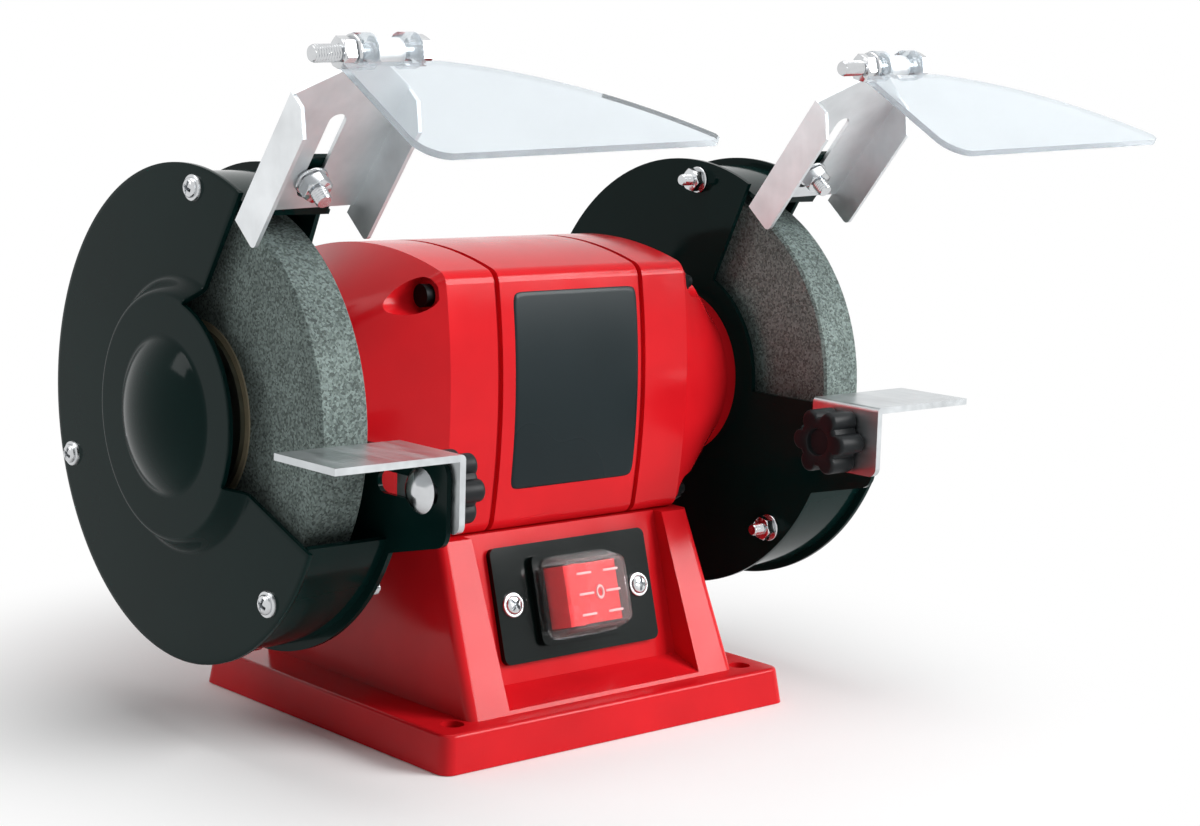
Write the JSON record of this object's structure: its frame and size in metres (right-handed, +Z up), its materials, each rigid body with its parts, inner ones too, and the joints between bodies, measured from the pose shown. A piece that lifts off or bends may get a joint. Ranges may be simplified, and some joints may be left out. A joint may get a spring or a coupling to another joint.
{
  "type": "bench grinder",
  "caption": "Bench grinder: a motor on a pedestal with guarded abrasive wheels at the shaft ends, adjustable tool rests, hinged clear eye shields and a rocker switch.",
  "frame": {"origin": "centre of the base's bolt pattern, on the bench", "axes": "+X along the shaft to the operator's right, -Y towards the operator, +Z up"},
  "size_m": [0.3076, 0.1989, 0.2117],
  "materials": {
    "red_enamel": "gloss red enamel",
    "black_enamel": "gloss black enamel",
    "grey_abrasive": "vitrified grey abrasive",
    "zinc_steel": "bright zinc plate",
    "bearing_steel": "ground steel",
    "core_steel": "laminated steel",
    "flange_steel": "pressed steel",
    "copper_winding": "enamelled copper",
    "clear_plastic": "clear polycarbonate",
    "clear_boot": "clear soft vinyl",
    "black_plastic": "moulded black plastic",
    "gloss_black": "gloss black plastic",
    "red_plastic": "gloss red plastic",
    "black_rubber": "moulded rubber",
    "capacitor_can": "drawn aluminium",
    "blotter_card": "card blotter",
    "brass_tabs": "tinned brass"
  },
  "bodies": {
    "frame": {"base_pedestal": "red_enamel", "bearing_outer_rings": "bearing_steel", "bottom_plate": "zinc_steel", "bottom_plate_screws": "zinc_steel", "bracket_bolts": "zinc_steel", "bracket_nuts": "zinc_steel", "capacitor": "capacitor_can", "capacitor_clamp": "zinc_steel", "capacitor_screws": "zinc_steel", "cord_gland": "black_rubber", "guard_cover_nuts": "zinc_steel", "guard_cover_screws": "zinc_steel", "guard_cover_washers": "zinc_steel", "guard_mount_screws": "zinc_steel", "left_end_bell": "red_enamel", "left_guard_cover": "black_enamel", "left_inner_guard": "black_enamel", "pedestal_screws": "zinc_steel", "right_end_bell": "red_enamel", "right_guard_cover": "black_enamel", "right_inner_guard": "black_enamel", "stator_core": "core_steel", "stator_housing": "red_enamel", "stator_windings": "copper_winding", "switch_body": "gloss_black", "switch_boot": "clear_boot", "switch_plate": "gloss_black", "switch_plate_screws": "zinc_steel", "switch_terminals": "brass_tabs", "tie_bolts": "zinc_steel", "tie_nuts": "zinc_steel", "wave_washer": "bearing_steel"},
    "rotor": {"motor_shaft": "bearing_steel", "rotor_core": "core_steel", "bearing_inner_rings": "bearing_steel", "bearing_balls": "bearing_steel", "left_wheel": "grey_abrasive", "right_wheel": "grey_abrasive", "wheel_blotters": "blotter_card", "inner_flanges": "flange_steel", "outer_flanges": "flange_steel", "left_wheel_nut": "zinc_steel", "right_wheel_nut": "zinc_steel"},
    "rocker": {"rocker": "red_plastic"},
    "left_rest": {"left_tool_rest": "zinc_steel", "left_rest_bolt": "zinc_steel"},
    "left_knob": {"left_rest_knob": "black_plastic"},
    "left_bracket": {"left_shield_bracket": "zinc_steel", "left_hinge_bolt": "zinc_steel"},
    "left_shield": {"left_eye_shield": "clear_plastic"},
    "right_rest": {"right_tool_rest": "zinc_steel", "right_rest_bolt": "zinc_steel"},
    "right_knob": {"right_rest_knob": "black_plastic"},
    "right_bracket": {"right_shield_bracket": "zinc_steel", "right_hinge_bolt": "zinc_steel"},
    "right_shield": {"right_eye_shield": "clear_plastic"}
  },
  "joints": [
    {"name": "rotor_spin", "type": "hinge", "parent": "frame", "child": "rotor", "pos_m": [0, 0.0075, 0.0995], "axis": [1, 0, 0], "continuous": true},
    {"name": "rocker_tip", "type": "hinge", "parent": "frame", "child": "rocker", "pos_m": [0, -0.03982, 0.04004], "axis": [0, -0.2706, -0.9627], "range_deg": [0, 16]},
    {"name": "left_rest_slide", "type": "slide", "parent": "frame", "child": "left_rest", "axis": [0, -1, 0], "range_m": [-0.0025, 0.004]},
    {"name": "left_knob_turn", "type": "hinge", "parent": "left_rest", "child": "left_knob", "pos_m": [-0.08265, -0.0725, 0.0869], "axis": [1, 0, 0], "range_deg": [-360, 360]},
    {"name": "left_bracket_slide", "type": "slide", "parent": "frame", "child": "left_bracket", "axis": [-0.0523, -0.6486, 0.7594], "range_m": [-0.003, 0.003]},
    {"name": "left_shield_swing", "type": "hinge", "parent": "left_bracket", "child": "left_shield", "pos_m": [-0.10455, -0.07125, 0.20587], "axis": [-0.9986, 0.034, -0.0398], "range_deg": [-35, 70]},
    {"name": "right_rest_slide", "type": "slide", "parent": "frame", "child": "right_rest", "axis": [0, -1, 0], "range_m": [-0.0025, 0.004]},
    {"name": "right_knob_turn", "type": "hinge", "parent": "right_rest", "child": "right_knob", "pos_m": [0.08265, -0.0725, 0.0869], "axis": [1, 0, 0], "range_deg": [-360, 360]},
    {"name": "right_bracket_slide", "type": "slide", "parent": "frame", "child": "right_bracket", "axis": [-0.0523, -0.6486, 0.7594], "range_m": [-0.003, 0.003]},
    {"name": "right_shield_swing", "type": "hinge", "parent": "right_bracket", "child": "right_shield", "pos_m": [0.09545, -0.07125, 0.20587], "axis": [-0.9986, 0.034, -0.0398], "range_deg": [-35, 70]}
  ]
}
